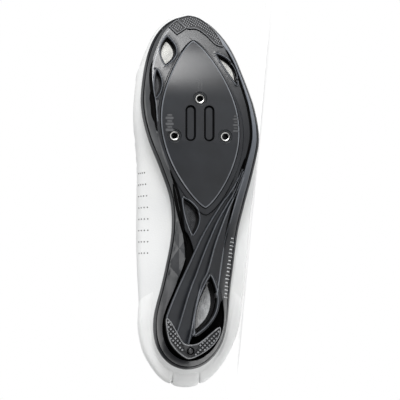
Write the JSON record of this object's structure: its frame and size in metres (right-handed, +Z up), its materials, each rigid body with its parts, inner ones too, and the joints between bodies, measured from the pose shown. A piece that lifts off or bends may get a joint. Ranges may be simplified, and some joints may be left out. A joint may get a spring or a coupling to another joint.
{
  "type": "cycling shoe",
  "caption": "Left road cycling shoe lying on its outer side: stiff vented sole with a bolt-on cleat platform, hollow upper with tongue and hook-and-loop straps.",
  "frame": {"origin": "centre of the lying shoe's box, on the floor", "axes": "+X from heel to toe, -Y the way the sole faces, +Z up with the outer side of the shoe on the floor"},
  "size_m": [0.2808, 0.1196, 0.0964],
  "materials": {
    "sole": "satin black moulded composite",
    "tread": "matt black rubber",
    "metal": "bright turned steel",
    "vent_mesh": "woven mesh",
    "upper": "matt white synthetic leather",
    "overlay": "smooth white synthetic leather",
    "tongue": "padded white fabric",
    "insole": "dark grey cloth on foam"
  },
  "bodies": {
    "root": {"outsole": "sole", "toe_pad_medial": "tread", "toe_pad_lateral": "tread", "heel_pad": "tread", "heel_screw": "metal", "cleat_nut_front": "metal", "cleat_nut_medial": "metal", "cleat_nut_lateral": "metal", "vent_mesh_toe_medial": "vent_mesh", "vent_mesh_toe_lateral": "vent_mesh", "vent_mesh_side": "vent_mesh", "vent_mesh_arch": "vent_mesh", "vent_mesh_heel": "vent_mesh", "insole": "insole", "upper": "upper", "counter_lateral": "overlay", "counter_medial": "overlay", "backstay": "overlay", "tongue": "tongue", "strap_front": "overlay", "strap_middle": "overlay", "strap_top": "overlay"}
  },
  "joints": []
}
